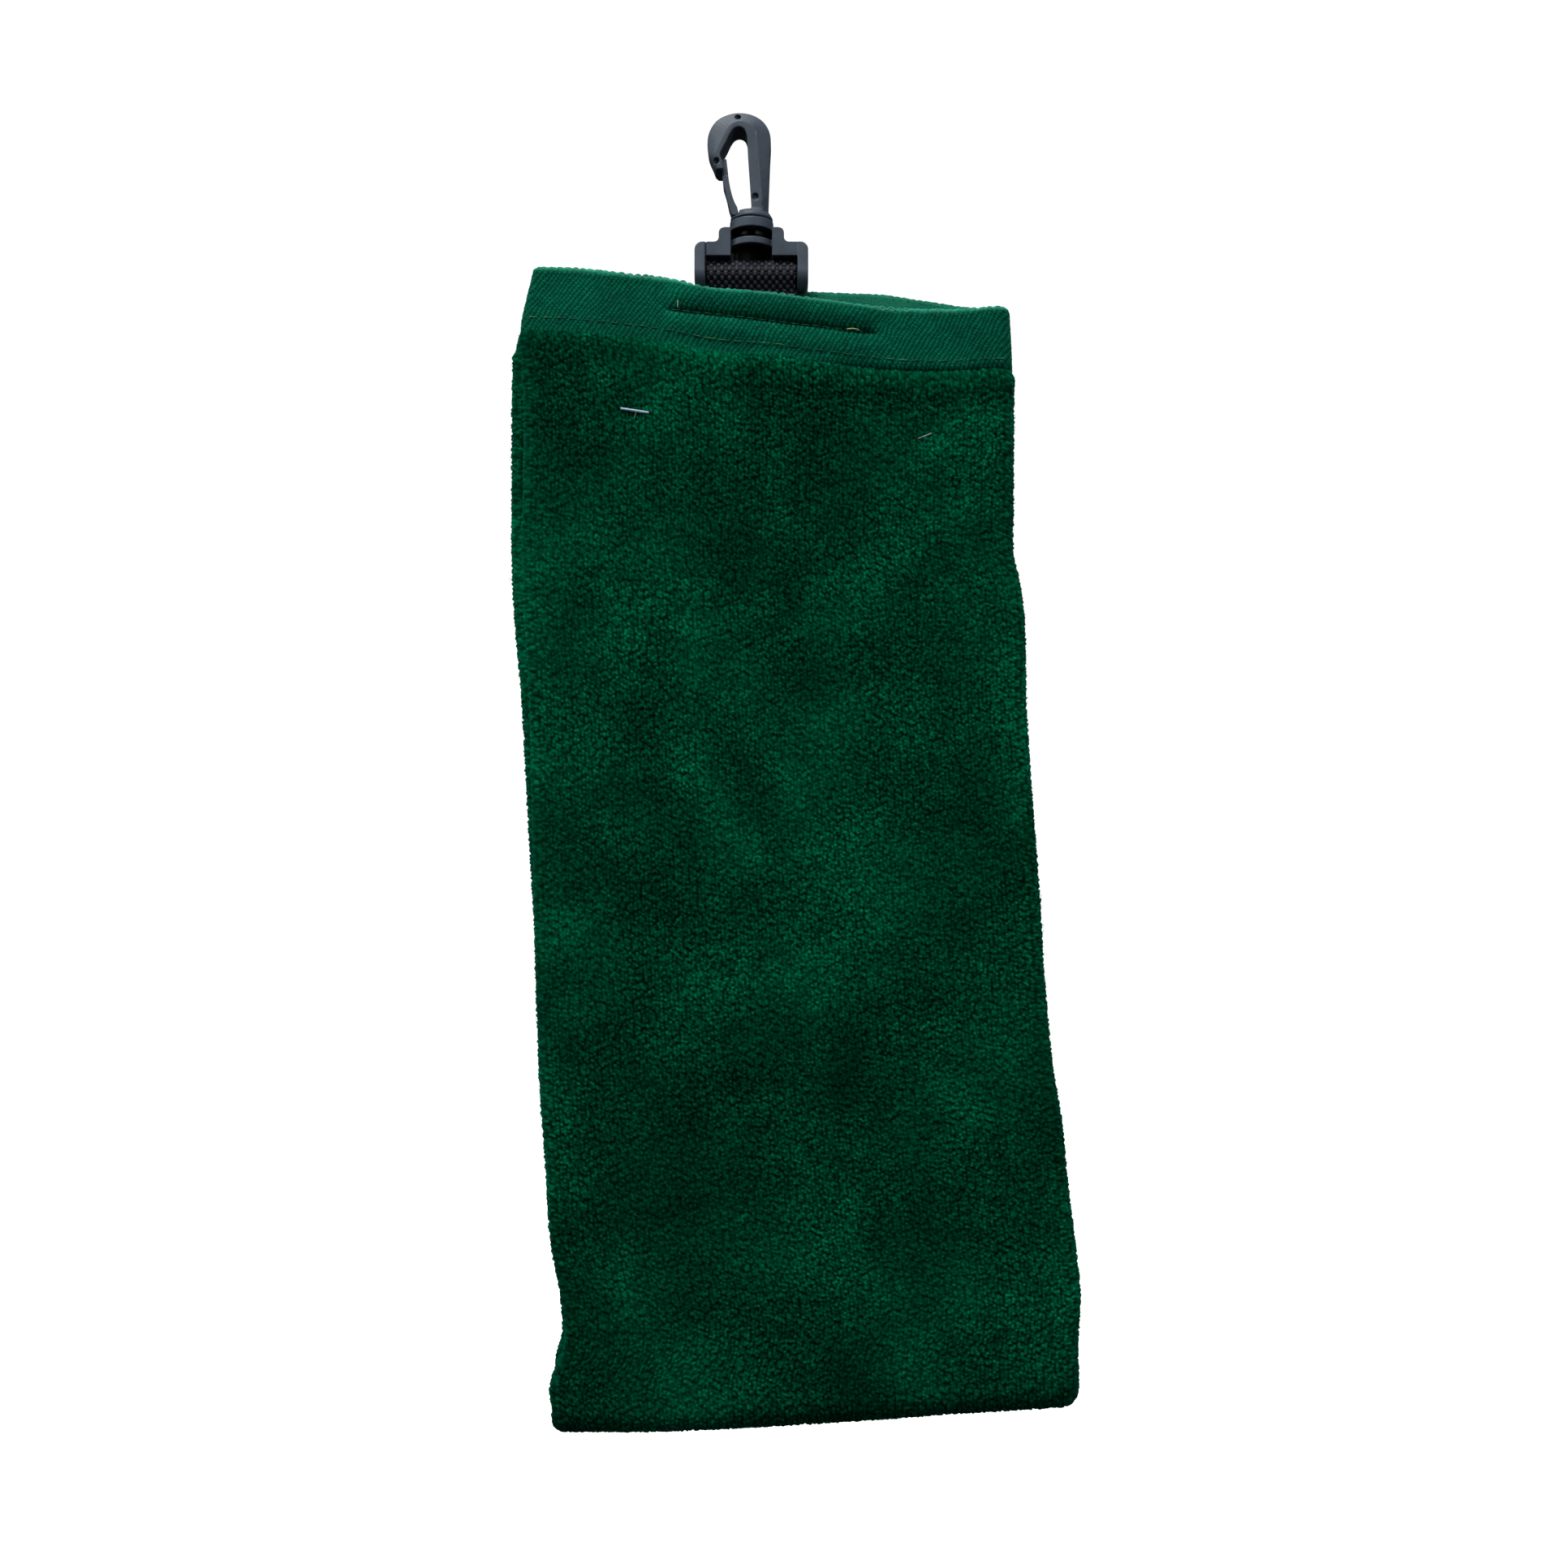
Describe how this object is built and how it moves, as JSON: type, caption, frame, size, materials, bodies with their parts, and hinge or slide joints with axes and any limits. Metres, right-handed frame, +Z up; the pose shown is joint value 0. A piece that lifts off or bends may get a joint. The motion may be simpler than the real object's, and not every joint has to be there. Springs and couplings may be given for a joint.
{
  "type": "golf towel",
  "caption": "Folded terry golf towel hung from a plastic swivel snap hook by a sewn webbing loop.",
  "frame": {"origin": "inside top of the hook's arch, on the hook's middle plane, where the thing that it hangs on bears", "axes": "+Z up along the hanging towel, +X to the right as its front is seen, +Y from its front to its back"},
  "size_m": [0.1529, 0.0223, 0.3545],
  "materials": {
    "hook_plastic": "satin moulded acetal, slate black",
    "webbing_black": "coarse basket weave, black",
    "terry_green": "cotton terry with a soft pile, deep green",
    "hem_green": "flat twill weave, green",
    "thread_green": "sewing thread, light green",
    "tag_nylon": "clear blue-grey nylon"
  },
  "bodies": {
    "hook": {"hook_frame": "hook_plastic"},
    "gate": {"gate_leaf": "hook_plastic"},
    "yoke": {"yoke": "hook_plastic"},
    "towel": {"webbing_loop": "webbing_black", "terry_cloth": "terry_green", "hook_end_hem": "hem_green", "free_end_hem": "hem_green", "hook_end_hem_thread": "thread_green", "free_end_hem_thread": "thread_green", "loop_seam_thread": "thread_green", "tag_pin_left": "tag_nylon", "tag_pin_right": "tag_nylon"}
  },
  "joints": [
    {"name": "gate_flex", "type": "hinge", "parent": "hook", "child": "gate", "pos_m": [-0.00145, 0, -0.0221], "axis": [0, 1, 0], "range_deg": [0, 18], "stiffness_Nm_per_rad": 0.05},
    {"name": "hook_swivel", "type": "hinge", "parent": "hook", "child": "yoke", "pos_m": [0.0031, 0, -0.0255], "axis": [0, 0, 1], "continuous": true},
    {"name": "loop_tilt", "type": "hinge", "parent": "yoke", "child": "towel", "pos_m": [0.0031, 0, -0.0383], "axis": [1, 0, 0], "range_deg": [-60, 60]}
  ]
}
